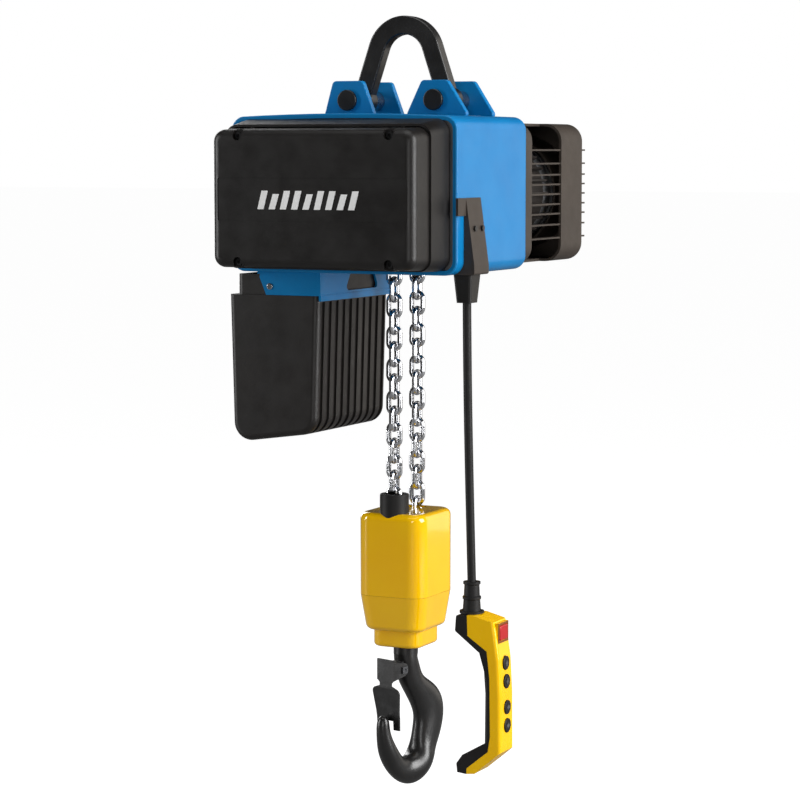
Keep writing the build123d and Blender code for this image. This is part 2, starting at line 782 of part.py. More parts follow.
with BuildPart() as fan_guard:
    guard_base_y = fan_cover_end_y + 0.2
    extrude(
        ring(guard_base_y, motor_axis, guard_radius, guard_radius - 4), amount=guard_base_y - guard_back_y
    )
    fillet(fan_guard.edges().group_by(Axis.Y)[-1].sort_by(SortBy.RADIUS)[-1], 3)
    for radius in (22, 38, 54, 70):
        extrude(ring(guard_back_y - 4, motor_axis, radius + 1.3, radius - 1.3), amount=-3.5)
    extrude(ring(guard_back_y - 4, motor_axis, 14), amount=-4)
    with BuildSketch(front_plane(guard_back_y - 4)):
        with Locations(motor_axis):
            for spoke_angle in (0, 45, 90, 135):
                Rectangle(2 * guard_radius - 4, 3, rotation=spoke_angle)
    extrude(amount=-3)
save(fan_guard, "fan_guard")

# ---- black covers and the controls behind them --------------------------------------------------
def cover_rings(levels):
    """Sections for a tapered cover: each level is (y, left, right, bottom, top, corner)."""
    return [rounded_rect(front_plane(y), *sides) for y, *sides in levels]


ring_back = (housing_front_y, -171, 128, -299, -110, 18)
ring_front = (cover_seam_y + 0.2, -165.5, 123, -298, -117, 17)
cover_back = (cover_seam_y, -163.5, 120.5, -296.5, -121.5, 15)
cover_front = (cover_face_y, -162, 119, -295, -124, 15)


def thinner(level, wall):
    """A cover level drawn in by the wall thickness."""
    y, left, right, bottom, top, corner = level
    return (y, left + wall, right - wall, bottom + wall, top - wall, corner - wall)


screw_places = [(x, z) for x in (-125.0, 85.0) for z in (-131.0, -288.0)]
upper_web, lower_web = 24.0, 14.0
pocket_width, pocket_reach = 12.0, 9.0

with BuildPart() as cover_ring:
    loft(cover_rings([ring_back, ring_front]))
    loft(cover_rings([thinner(ring_back, cover_wall), thinner(ring_front, cover_wall)]), mode=Mode.SUBTRACT)
    # stays for the front cover's screws, webbed to the wall
    for x, z in screw_places:
        web_height = upper_web if z > shaft_z else -lower_web
        extrude(ring(cover_seam_y + 0.2, (x, z), 6.5), amount=cover_seam_y - housing_front_y)
        with Locations((x, (cover_seam_y + housing_front_y) / 2, z + web_height / 2)):
            Box(4, housing_front_y - cover_seam_y, abs(web_height))
    loft(cover_rings([ring_back, ring_front]), mode=Mode.INTERSECT)
    for place in screw_places:
        extrude(
            ring(cover_seam_y, place, 2.7), amount=cover_seam_y - housing_front_y, mode=Mode.SUBTRACT
        )
    # inner spigot on the gearbox cover
    spigot_y = housing_front_y - 10
    for inset, mode in ((0, Mode.ADD), (3, Mode.SUBTRACT)):
        extrude(
            rounded_rect(
                front_plane(spigot_y), -168 + inset, 125 - inset, -296 + inset, -113 - inset, 15 - inset
            ),
            amount=spigot_y - gearbox_cover_front_y + 0.2,
            mode=mode,
        )
save(cover_ring, "cover_ring")

with BuildPart() as front_cover:
    loft(cover_rings([cover_back, cover_front]))
    fillet(front_cover.faces().sort_by(Axis.Y)[0].edges(), 12)
    inside_front = (cover_face_y + cover_wall, *thinner(cover_front, cover_wall + 2)[1:])
    loft(cover_rings([thinner(cover_back, cover_wall), inside_front]), mode=Mode.SUBTRACT)
    # shallow band across the face for the type plate
    extrude(
        rounded_rect(front_plane(cover_face_y), -153, 111, -237, -183, 3), amount=-0.8, mode=Mode.SUBTRACT
    )
    # screw pockets and their bosses
    for place in screw_places:
        extrude(ring(cover_face_y + 2, place, 8.5), amount=cover_face_y + 3 - cover_seam_y)
        pocket_shift = pocket_reach / 2 if place[1] > shaft_z else -pocket_reach / 2
        with BuildSketch(front_plane(cover_face_y)):
            with Locations((place[0], place[1] + pocket_shift)):
                SlotOverall(pocket_width + pocket_reach, pocket_width, rotation=90)
        extrude(amount=-8, mode=Mode.SUBTRACT)
        extrude(ring(cover_face_y, place, 2.6), amount=cover_face_y - cover_seam_y, mode=Mode.SUBTRACT)
save(front_cover, "front_cover")

cover_screw_head_y = cover_face_y + 8
slope_top, slope_foot = (141.0, -208.0), (152.5, -292.0)
bracket_screw_y = (-106.0, -84.0)
bracket_screw_x, bracket_screw_z = 147.85, -246.0

with BuildPart() as case_screws:
    for place in screw_places:
        extrude(ring(cover_screw_head_y - 4, place, 4.6), amount=-4)
        extrude(ring(cover_screw_head_y, place, 2.5), amount=-38)
        with BuildSketch(front_plane(cover_screw_head_y - 4)):
            with Locations(place):
                RegularPolygon(2.4, 6)
        extrude(amount=-2, mode=Mode.SUBTRACT)
    # the two small ones of the cable bracket
    for screw_y in bracket_screw_y:
        with Locations((bracket_screw_x, screw_y, bracket_screw_z)):
            Cylinder(3.6, 2.2, rotation=(0, 90, 0))
save(case_screws, "case_screws")

with BuildPart() as control_electrics:
    electrics_back_y = gearbox_cover_front_y - 0.4
    # contactor, transformer and terminal block on one mounting plate
    for centre_x, centre_z, width, height, depth in (
        (-115, -200, 55, 80, 58),
        (-38, -205, 66, 62, 62),
        (62, -205, 90, 34, 30),
    ):
        with Locations((centre_x, electrics_back_y - 2.4 - depth / 2, centre_z)):
            Box(width, depth, height)
    fillet(control_electrics.edges().filter_by(Axis.Y), 2)
    with Locations((-22, electrics_back_y - 1.2, -204)):
        Box(262, 2.4, 130)
    for number in range(8):
        with Locations((24 + number * 11, electrics_back_y - 32.4, -205)):
            Cylinder(3, 6, rotation=(90, 0, 0), mode=Mode.SUBTRACT)
save(control_electrics, "control_electrics")

with BuildPart() as power_gland:
    with BuildSketch(side_plane(housing_left - 18)):
        with Locations(power_gland_place):
            Circle(9.5)
    extrude(amount=18 + housing_wall)
    with BuildSketch(side_plane(housing_left - 20)):
        with Locations(power_gland_place):
            RegularPolygon(14, 6)
    extrude(amount=9)
    with BuildSketch(side_plane(housing_left - 8)):
        with Locations(power_gland_place):
            RegularPolygon(15, 6)
    extrude(amount=7.6)
    chamfer(power_gland.faces().sort_by(Axis.X)[0].edges(), 2)
    with BuildSketch(side_plane(housing_left - 21)):
        with Locations(power_gland_place):
            Circle(6.5)
    extrude(amount=40, mode=Mode.SUBTRACT)
save(power_gland, "power_gland")

# ---- control cable, its bracket, gland and boot -------------------------------------------------
with BuildPart() as cable_bracket:
    with BuildSketch(front_plane(-120)):
        Polygon(
            (housing_right + 0.1, slope_top[1]),
            slope_top,
            slope_foot,
            (slope_foot[0], -303.6),
            (124, -303.6),
            (housing_right + 0.1, -290),
            align=None,
        )
    extrude(amount=-44)
    fillet(cable_bracket.edges().filter_by(Axis.Y).sort_by(Axis.X)[-2:], 3)
    extrude(housing_section(-121, -0.1), amount=-46, mode=Mode.SUBTRACT)
    with Locations((139.7, -131.9, -219)):
        Box(3, 24, 22)
save(cable_bracket, "cable_bracket")

gland_top_z = housing_bottom_z - 0.2
cable_radius = 5.5
with BuildPart() as cable_gland:
    with BuildSketch(Plane.XY.offset(gland_top_z)) as gland_head:
        with Locations((gland_x, gland_y)):
            RectangleRounded(25, 32, 4)
    with BuildSketch(Plane.XY.offset(gland_mouth_z)) as gland_mouth:
        with Locations((gland_x, gland_y)):
            RectangleRounded(20, 24, 4)
    loft()
    with BuildSketch(Plane.XY.offset(gland_mouth_z)):
        with Locations((gland_x, gland_y)):
            RectangleRounded(15, 16, 3)
    extrude(amount=10, mode=Mode.SUBTRACT)
save(cable_gland, "cable_gland")

boot_bottom_z = -731.0
cable_route = [
    (gland_x, gland_y, gland_mouth_z + 3),
    (gland_x + 0.6, gland_y, -415),
    (gland_x + 3.7, gland_y, -560),
    (boot_x, gland_y, boot_top_z - 6),
]


def bend_radius(before, corner, after):
    """Radius that uses 45 percent of the shorter run next to a corner of the route."""
    one = Vector(*before) - Vector(*corner)
    two = Vector(*after) - Vector(*corner)
    turn = radians(180 - one.get_angle(two))
    return 0.45 * min(one.length, two.length) / tan(turn / 2)


cable_bends = [
    bend_radius(cable_route[number - 1], cable_route[number], cable_route[number + 1])
    for number in range(1, len(cable_route) - 1)
]
print("control cable arc radii, mm:", [round(radius, 1) for radius in cable_bends])

with BuildPart() as control_cable:
    with BuildLine() as cable_path:
        FilletPolyline(*cable_route, radius=cable_bends)
    with BuildSketch(Plane(origin=cable_path.line @ 0, z_dir=cable_path.line % 0)):
        Circle(cable_radius)
    sweep(path=cable_path.line)
    print("control cable length, mm:", round(cable_path.wire().length, 1))
save(control_cable, "control_cable")

with BuildPart() as cable_boot:
    with BuildSketch(front_plane(gland_y)):
        Polygon(
            (boot_x, boot_top_z),
            (boot_x + 11, boot_top_z),
            (boot_x + 11, boot_top_z - 3),
            (boot_x + 9.6, boot_top_z - 4),
            (boot_x + 10.2, boot_top_z - 18),
            (boot_x + 11.8, boot_top_z - 19),
            (boot_x + 11.8, boot_top_z - 22),
            (boot_x + 10.6, boot_top_z - 23),
            (boot_x + 11.6, boot_bottom_z + 3),
            (boot_x + 15.5, boot_bottom_z + 3),
            (boot_x + 15.5, boot_bottom_z),
            (boot_x, boot_bottom_z),
            align=None,
        )
    revolve(axis=Axis((boot_x, gland_y, 0), (0, 0, 1)))
    with Locations((boot_x, gland_y, boot_top_z)):
        Cylinder(cable_radius + 0.5, 14, mode=Mode.SUBTRACT)
save(cable_boot, "cable_boot")

# ---- pendant ------------------------------------------------------------------------------------
pendant_front_face_y = gland_y - pendant_thickness / 2
pendant_wall = 3.0
rear_profile = [
    (128, -731.4), (126.4, -752), (160, -777.5), (164.3, -792), (167, -829), (166.5, -893),
    (137, -910), (128.7, -921.6), (130, -933), (142.6, -934.3),
]
seam_profile = [
    (142.6, -927), (172, -903), (175, -883), (174, -810), (170, -775), (143.5, -757), (142.6, -731.4),
]
front_profile = [
    (142.9, -731.4), (152, -731.4), (178, -738), (181, -748), (186.5, -785), (189, -830), (189.5, -903),
    (153.7, -933), (142.9, -934.2),
]
seam_gap = 0.3
pendant_edge_round = 5.0
stop_width, stop_height = 24.0, 19.0
block_back_x, block_front_x = 170.8, 179.4
stop_place = (181.7, -752.5)
button_heights = [-791.4, -814.9, -847.8, -871.1]
button_radius = 9.0


def front_edge(height):
    """X of the pendant's front face at a height."""
    faces = [(181, -748), (186.5, -785), (189, -830), (189.5, -903)]
    for (upper_x, upper_z), (lower_x, lower_z) in zip(faces, faces[1:]):
        if upper_z >= height >= lower_z:
            return upper_x + (lower_x - upper_x) * (upper_z - height) / (upper_z - lower_z)
    return faces[-1][0]


seam_shifted = [(x + seam_gap, z) for x, z in seam_profile[:-1]]


def pendant_cavity(front_y):
    """The room inside both pendant shells."""
    with BuildPart() as cavity:
        with BuildSketch(front_plane(front_y + pendant_wall)):
            Polygon(*rear_profile[:-1], *reversed(front_profile[1:]), align=None)
            offset(amount=-pendant_wall, mode=Mode.REPLACE)
        extrude(amount=-pendant_thickness + 2 * pendant_wall)
    return cavity.part


with BuildPart() as pendant_rear_shell:
    with BuildSketch(front_plane(pendant_front_face_y)):
        Polygon(*rear_profile, *seam_profile, align=None)
    extrude(amount=-pendant_thickness)
    fillet(pendant_rear_shell.edges().filter_by(Axis.Y).sort_by(Axis.X)[:3], 3)
    grip_edges = [edge for edge in pendant_rear_shell.edges() if edge.length > 40 and edge.center().X < 170]
    fillet([edge for edge in grip_edges if abs(edge.tangent_at(0).Z) > 0.9], pendant_edge_round)
    add(pendant_cavity(pendant_front_face_y), mode=Mode.SUBTRACT)
save(pendant_rear_shell, "pendant_rear_shell")

with BuildPart() as pendant_front_shell:
    with BuildSketch(front_plane(pendant_front_face_y)):
        Polygon(*front_profile, *seam_shifted, align=None)
    extrude(amount=-pendant_thickness)
    face_edges = [edge for edge in pendant_front_shell.edges() if edge.length > 30 and edge.center().X > 180]
    fillet([edge for edge in face_edges if abs(edge.tangent_at(0).Z) > 0.9], pendant_edge_round)
    add(pendant_cavity(pendant_front_face_y), mode=Mode.SUBTRACT)
    # raised surround of the stop button
    with Locations((stop_place[0] - 1.6, gland_y, stop_place[1])):
        Box(6.6, 31, 26)
        Box(30, stop_width + 0.8, stop_height + 0.8, mode=Mode.SUBTRACT)
    for height in button_heights:
        with Locations((front_edge(height), gland_y, height)):
            Cylinder(button_radius + 0.35, 16, rotation=(0, 90, 0), mode=Mode.SUBTRACT)
save(pendant_front_shell, "pendant_front_shell")

with BuildPart() as switch_block:
    with Locations(
        ((block_back_x + block_front_x) / 2, gland_y, (button_heights[0] + button_heights[-1]) / 2)
    ):
        Box(block_front_x - block_back_x, 26, 102)
    with Locations((159, gland_y, stop_place[1])):
        Box(14, 20, 20)
save(switch_block, "switch_block")

with BuildPart() as stop_button:
    with Locations((stop_place[0] - 3.4, gland_y, stop_place[1])):
        Box(14, stop_width, stop_height)
    fillet(stop_button.edges().filter_by(Axis.X), 3)
    fillet(stop_button.faces().sort_by(Axis.X)[-1].edges(), 1.5)
save(stop_button, "stop_button")

button_names = ["up_button", "down_button", "forward_button", "reverse_button"]
for name, height in zip(button_names, button_heights):
    with BuildPart() as push_button:
        with Locations((front_edge(height) - 1.6, gland_y, height)):
            Cylinder(button_radius, 5 + button_travel, rotation=(0, 90, 0))
        fillet(push_button.edges().sort_by(Axis.X)[-1], 1)
    save(push_button, name)

# ---- hook block ---------------------------------------------------------------------------------
block_x, block_y = 96.0, 108.0
lower_x, lower_y = 84.0, 96.0
block_corner = 22.0
block_top_round = 9.0
block_wall = 3.5
inner_x, inner_y = block_x - 2 * block_wall, block_y - 2 * block_wall
inner_corner = block_corner - block_wall
block_floor_z = -772.0
chain_hole_depth = 10.0
buffer_radius = 19.0
buffer_top_z = -595.0
axle_radius = 9.0
axle_reach = 43.0
block_screw_places = [(x, y) for x in (-30, 30) for y in (-32, 32)]


def level_rect(z, size_x, size_y, radius):
    """A level rounded rectangle centred on the load line."""
    with BuildSketch(Plane.XY.offset(z)) as section:
        RectangleRounded(size_x, size_y, radius)
    return section.sketch


def level_discs(z, places, radius):
    """Level discs at several places."""
    with BuildSketch(Plane.XY.offset(z)) as section:
        with Locations(*places):
            Circle(radius)
    return section.sketch


def upper_body():
    """The upper shell's closed outer body."""
    with BuildPart() as body:
        extrude(
            level_rect(block_seam_z + 0.15, block_x, block_y, block_corner),
            amount=block_top_z - block_seam_z - 0.15,
        )
        fillet(body.faces().sort_by(Axis.Z)[-1].edges(), block_top_round)
    return body.part


with BuildPart() as block_upper_shell:
    add(upper_body())
    inner_top_z = block_top_z - chain_hole_depth + 1.5
    extrude(
        level_rect(block_seam_z, inner_x, inner_y, inner_corner),
        amount=inner_top_z - block_seam_z,
        mode=Mode.SUBTRACT,
    )
    for side in (-1, 1):
        with Locations((side * (17.5 + block_x / 2 - block_wall) / 2, 0, sheave_z)):
            Cylinder(14, block_x / 2 - block_wall - 17.5, rotation=(0, 90, 0))
        with Locations((side * (17 + axle_reach) / 2, 0, sheave_z)):
            Cylinder(axle_radius + running_gap, axle_reach - 17, rotation=(0, 90, 0), mode=Mode.SUBTRACT)
    extrude(
        level_discs(block_seam_z + 0.15, block_screw_places, 5.5),
        amount=inner_top_z - block_seam_z - 0.15,
    )
    extrude(level_discs(block_seam_z, block_screw_places, 2.55), amount=30, mode=Mode.SUBTRACT)
    extrude(
        level_discs(block_top_z, [front_fall, rear_fall], 13), amount=-chain_hole_depth, mode=Mode.SUBTRACT
    )
save(block_upper_shell, "block_upper_shell")

with BuildPart() as block_lower_shell:
    loft(
        [
            level_rect(block_seam_z - 0.15, block_x, block_y, block_corner),
            level_rect(block_bottom_z, lower_x, lower_y, block_corner),
        ]
    )
    fillet(block_lower_shell.faces().sort_by(Axis.Z)[0].edges(), 8)
    extrude(level_rect(block_bottom_z, 69, 75, 17), amount=collar_bottom_z - block_bottom_z)
    fillet(block_lower_shell.faces().sort_by(Axis.Z)[0].edges(), 5)
    loft(
        [
            level_rect(block_seam_z, inner_x, inner_y, inner_corner),
            level_rect(block_floor_z, lower_x - 2 * block_wall, lower_y - 2 * block_wall, inner_corner),
        ],
        mode=Mode.SUBTRACT,
    )
    extrude(
        level_discs(block_floor_z - 2, block_screw_places, 7), amount=block_seam_z - 0.15 - block_floor_z + 2
    )
    extrude(level_discs(block_bottom_z, block_screw_places, 5), amount=10, mode=Mode.SUBTRACT)
    extrude(level_discs(block_bottom_z, block_screw_places, 2.7), amount=60, mode=Mode.SUBTRACT)
    extrude(level_discs(block_floor_z, [(0, 0)], 16.8), amount=-40, mode=Mode.SUBTRACT)
save(block_lower_shell, "block_lower_shell")

with BuildPart() as block_screws:
    extrude(level_discs(block_bottom_z + 5, block_screw_places, 4.8), amount=5)
    extrude(level_discs(block_bottom_z + 10, block_screw_places, 2.5), amount=55)
save(block_screws, "block_screws")

with BuildPart() as chain_buffer:
    # a rubber tube whose foot follows the block's rounded top edge
    buffer_foot_z = block_top_z - block_top_round + 2
    extrude(
        level_discs(buffer_foot_z, [front_fall], buffer_radius), amount=buffer_top_z - buffer_foot_z
    )
    fillet(chain_buffer.faces().sort_by(Axis.Z)[-1].edges(), 1.5)
    extrude(level_discs(buffer_foot_z, [front_fall], 12.8), amount=60, mode=Mode.SUBTRACT)
    with Locations((0, 0, running_gap)):
        add(upper_body(), mode=Mode.SUBTRACT)
save(chain_buffer, "chain_buffer")

with BuildPart() as sheave:
    for length, radius in ((32.0, 21.9), (32.0, 14.0)):
        with Locations((0, 0, sheave_z)):
            Cylinder(radius, length, rotation=(0, 90, 0))
    for side in (-1, 1):
        for inner_x, outer_x, radius in ((4.8, 12.4, 30.2), (12.4, 16.0, 43.0)):
            with Locations((side * (inner_x + outer_x) / 2, 0, sheave_z)):
                Cylinder(radius, outer_x - inner_x, rotation=(0, 90, 0))
    with Locations((0, 0, sheave_z)):
        Cylinder(axle_radius + running_gap, 40, rotation=(0, 90, 0), mode=Mode.SUBTRACT)
save(sheave, "sheave")

with BuildPart() as sheave_axle:
    with Locations((0, 0, sheave_z)):
        Cylinder(axle_radius, 2 * axle_reach - 0.4, rotation=(0, 90, 0))
    chamfer(sheave_axle.edges().filter_by(GeomType.CIRCLE), 0.8)
save(sheave_axle, "sheave_axle")

shank_radius = 9.9
with BuildPart() as hook_crosshead:
    extrude(level_rect(block_floor_z + 0.05, 66, 38, 6), amount=20)
    extrude(level_discs(block_floor_z, [(0, 0)], shank_radius + 0.4), amount=40, mode=Mode.SUBTRACT)
save(hook_crosshead, "hook_crosshead")

with BuildPart() as thrust_bearing:
    extrude(level_discs(block_floor_z + 20.1, [(0, 0)], 14), amount=7)
    extrude(level_discs(block_floor_z + 20, [(0, 0)], shank_radius + 0.4), amount=40, mode=Mode.SUBTRACT)
save(thrust_bearing, "thrust_bearing")

# ---- hook and latch -----------------------------------------------------------------------------
with BuildPart() as hook_nut:
    with BuildSketch(Plane.XY.offset(block_floor_z + 27.4)):
        RegularPolygon(14, 6)
        Circle(shank_radius + 0.02, mode=Mode.SUBTRACT)
    extrude(amount=11.6)
save(hook_nut, "hook_nut")

back = Vector(1, 0, 0).rotate(Axis.Z, 90 + hook_turn)
across = Vector(1, 0, 0).rotate(Axis.Z, hook_turn)
latch_s, latch_z = -20.0, -830.0
# centre (along the hook's back, height), depth in the hook's plane, breadth across it
hook_sections = [
    (0, -812, 32, 32),
    (1.2, -824, 32, 32),
    (8, -843, 34, 31),
    (25.5, -865, 40, 31),
    (41.5, -884, 50, 32),
    (44.5, -908, 48, 32),
    (34, -942, 41, 33),
    (4, -970, 39, 32),
    (-26, -953, 28, 27),
    (-39, -930, 23, 24),
    (-44.5, -907, 18, 18),
    (-44.5, -896, 15, 15),
    (-43.8, -890, 7, 7),
]


def hook_plane(offset_across):
    """A sketch plane in the hook's own plane: its axes are the hook's back and Z."""
    return Plane(origin=across * offset_across, x_dir=back, z_dir=across)


def crosswise(start, radius, hole=0.0):
    """A disc or ring about the latch's axis, starting at a distance across the hook."""
    with BuildSketch(hook_plane(start)) as section:
        with Locations((latch_s, latch_z)):
            Circle(radius)
            if hole:
                Circle(hole, mode=Mode.SUBTRACT)
    return section.sketch


latch_lug_half = 8.0
latch_pin_radius = 3.0


def hook_section(number):
    """One elliptical section of the hook, square to its run."""
    s, z, depth, breadth = hook_sections[number]
    before = hook_sections[max(number - 1, 0)]
    after = hook_sections[min(number + 1, len(hook_sections) - 1)]
    along = back * (after[0] - before[0]) + Vector(0, 0, after[1] - before[1])
    if number == 0:
        along = Vector(0, 0, -1)
    plane = Plane(origin=back * s + Vector(0, 0, z), x_dir=across, z_dir=along)
    return plane * Ellipse(breadth / 2, depth / 2)


# the forging is joined by adding solids, because its freely curved bowl needs that
shank_top_z, shoulder_top_z, neck_z = -733.5, -774.3, -812.0
lug_web = [(latch_s, -838), (2, -842), (2, -815), (latch_s, -822)]
shank = extrude(Plane.XY.offset(shank_top_z) * Circle(shank_radius), amount=shoulder_top_z - shank_top_z)
shank = chamfer(shank.faces().sort_by(Axis.Z)[-1].edges(), 1)
shoulder = extrude(Plane.XY.offset(shoulder_top_z) * Circle(16.2), amount=neck_z - shoulder_top_z)
bowl = loft([hook_section(number) for number in range(len(hook_sections))])
web = extrude(hook_plane(-latch_lug_half) * Polygon(*lug_web, align=None), amount=2 * latch_lug_half)
lug = extrude(crosswise(-latch_lug_half, 8.5), amount=2 * latch_lug_half)
lug_hole = extrude(
    crosswise(-latch_lug_half - 1, latch_pin_radius + running_gap), amount=2 * latch_lug_half + 2
)
hook = Part() + shank + shoulder + bowl + web + lug - lug_hole
hook.label = "hook"
export_step(hook, "parts/hook.step")

cheek_inner, cheek_outer = 12.0, 14.5
latch_sheet = 2.5

with BuildPart() as latch:
    # pressed front plate that closes the hook's mouth, forked round its tip
    with BuildSketch(hook_plane(-24)):
        Polygon(
            (-40.5, -815), (-38, -815), (-38, -853), (-32.8, -893), (-31.8, -909), (-34.3, -909),
            (-35.3, -893), (-40.5, -853), align=None,
        )
    extrude(amount=48)
    with BuildSketch(Plane(origin=back * -45, x_dir=across * -1, z_dir=back)):
        plate_half = [(14.5, -815), (14.5, -842), (10, -846), (10, -850), (24, -855), (20, -885), (19, -909)]
        plate_half += [(9, -909), (9, -897)]
        plate = Polygon(*plate_half, *[(-n, z) for n, z in reversed(plate_half)], align=None)
        fillet([corner for corner in plate.vertices() if -856 < corner.Y < -854], 7)
        fillet([corner for corner in plate.vertices() if corner.Y < -908], 2)
    extrude(amount=20, mode=Mode.INTERSECT)
    # cheeks on the pin
    for start in (cheek_inner, -cheek_outer):
        with BuildSketch(hook_plane(start)):
            Polygon((-40.5, -818), (latch_s, -821), (latch_s, -839), (-40.5, -843), align=None)
            with Locations((latch_s, latch_z)):
                Circle(9)
                Circle(latch_pin_radius + running_gap, mode=Mode.SUBTRACT)
        extrude(amount=latch_sheet)
save(latch, "latch")

with BuildPart() as latch_pin:
    extrude(crosswise(-cheek_outer - 1.5, latch_pin_radius), amount=2 * cheek_outer + 3)
    with BuildSketch(hook_plane(cheek_outer + 0.4)):
        with Locations((latch_s, latch_z)):
            Rectangle(9, 9)
            Circle(latch_pin_radius - 0.5, mode=Mode.SUBTRACT)
    extrude(amount=2.5)
save(latch_pin, "latch_pin")

with BuildPart() as latch_spring:
    for start in (latch_lug_half + 0.4, -cheek_inner + 0.4):
        extrude(crosswise(start, 6.4, latch_pin_radius + 0.2), amount=3.2)
save(latch_spring, "latch_spring")
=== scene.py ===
import math

import bpy
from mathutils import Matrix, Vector


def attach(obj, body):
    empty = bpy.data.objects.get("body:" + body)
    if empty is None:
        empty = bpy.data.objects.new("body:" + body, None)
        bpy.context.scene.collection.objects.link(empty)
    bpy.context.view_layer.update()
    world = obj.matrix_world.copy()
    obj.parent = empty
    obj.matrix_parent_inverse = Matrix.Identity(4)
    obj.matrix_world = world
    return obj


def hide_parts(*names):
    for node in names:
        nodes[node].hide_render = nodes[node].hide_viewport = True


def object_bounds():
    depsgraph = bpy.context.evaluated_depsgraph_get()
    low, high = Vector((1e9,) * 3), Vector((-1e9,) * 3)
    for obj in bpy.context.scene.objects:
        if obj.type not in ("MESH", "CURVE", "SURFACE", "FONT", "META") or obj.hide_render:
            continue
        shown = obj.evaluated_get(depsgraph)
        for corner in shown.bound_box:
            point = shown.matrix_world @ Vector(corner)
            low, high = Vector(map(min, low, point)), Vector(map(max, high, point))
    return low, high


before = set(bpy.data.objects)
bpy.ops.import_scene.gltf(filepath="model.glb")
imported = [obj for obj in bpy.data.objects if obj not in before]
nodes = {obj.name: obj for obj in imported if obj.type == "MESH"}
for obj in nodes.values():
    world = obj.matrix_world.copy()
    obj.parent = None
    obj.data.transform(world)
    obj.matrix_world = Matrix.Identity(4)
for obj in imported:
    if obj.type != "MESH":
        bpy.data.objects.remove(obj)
cad_low, cad_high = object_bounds()
white = (1.0, 1.0, 1.0)


def add_object(name, data):
    """An object made from its data and put in the scene."""
    made = bpy.data.objects.new(name, data)
    bpy.context.scene.collection.objects.link(made)
    return made


# ---- camera -------------------------------------------------------------------------------------
lens_mm, sensor_mm = 117.0, 36.0
camera_place = (1.4820, -3.0560, -0.1490)
yaw, pitch = math.radians(26.0), math.radians(5.49)

camera_data = bpy.data.cameras.new("camera")
camera_data.lens = lens_mm
camera_data.sensor_width = sensor_mm
camera = add_object("camera", camera_data)
camera.location = camera_place
camera.rotation_euler = (math.pi / 2 - pitch, 0.0, yaw)
bpy.context.scene.camera = camera

# ---- materials ----------------------------------------------------------------------------------
# noise scales are in cycles per metre, bump heights in metres
blotch_detail = 4.0
rough_scale, rough_detail = 38.0, 5.0
rough_low, rough_high = 0.88, 1.12
grain_detail, grain_rough, grain_height = 2.0, 0.5, 0.0004
wave_scale, wave_detail, wave_height = 9.0, 1.0, 0.004
scuff_scale, scuff_detail, scuff_most = 55.0, 5.0, 0.8
scuff_start, scuff_end = 0.45, 0.6
edge_start, edge_end = 0.56, 0.66


def linear(hex_colour):
    """An sRGB hex colour as linear RGBA."""
    out = []
    for start in (0, 2, 4):
        value = int(hex_colour[start:start + 2], 16) / 255
        out.append(value / 12.92 if value <= 0.04045 else ((value + 0.055) / 1.055) ** 2.4)
    return (*out, 1.0)


class Nodes:
    """A material's node tree with short calls for the nodes used here."""

    def __init__(self, name):
        self.material = bpy.data.materials.new(name)
        self.material.use_nodes = True
        self.tree = self.material.node_tree
        self.shader = self.tree.nodes["Principled BSDF"]
        self.place = self.tree.nodes.new("ShaderNodeTexCoord").outputs["Object"]

    def link(self, a, b):
        self.tree.links.new(a, b)

    def noise(self, scale, detail, rough=0.55, stretch=None):
        """Noise in the object's own coordinates, drawn out along an axis by stretch."""
        node = self.tree.nodes.new("ShaderNodeTexNoise")
        node.inputs["Scale"].default_value = scale
        node.inputs["Detail"].default_value = detail
        node.inputs["Roughness"].default_value = rough
        if stretch:
            mapping = self.tree.nodes.new("ShaderNodeMapping")
            mapping.inputs["Scale"].default_value = stretch
            self.link(self.place, mapping.inputs["Vector"])
            self.link(mapping.outputs["Vector"], node.inputs["Vector"])
        else:
            self.link(self.place, node.inputs["Vector"])
        return node.outputs["Fac"]

    def ramp(self, value, low, high, start=0.3, end=0.7):
        """A value from start to end, mapped to low to high."""
        node = self.tree.nodes.new("ShaderNodeMapRange")
        node.inputs["From Min"].default_value = start
        node.inputs["From Max"].default_value = end
        node.inputs["To Min"].default_value = low
        node.inputs["To Max"].default_value = high
        self.link(value, node.inputs["Value"])
        return node.outputs["Result"]

    def mix(self, value, first, second):
        """Two colours, each a tuple or an output, mixed by an output."""
        node = self.tree.nodes.new("ShaderNodeMix")
        node.data_type = "RGBA"
        for socket, colour in ((node.inputs[6], first), (node.inputs[7], second)):
            if isinstance(colour, tuple):
                socket.default_value = colour
            else:
                self.link(colour, socket)
        self.link(value, node.inputs[0])
        return node.outputs[2]

    def bump(self, height, strength, distance, normal=None):
        """A bump on the shader, over an earlier bump's normal if one is given."""
        node = self.tree.nodes.new("ShaderNodeBump")
        node.inputs["Strength"].default_value = strength
        node.inputs["Distance"].default_value = distance
        self.link(height, node.inputs["Height"])
        if normal is not None:
            self.link(normal, node.inputs["Normal"])
        self.link(node.outputs["Normal"], self.shader.inputs["Normal"])
        return node.outputs["Normal"]


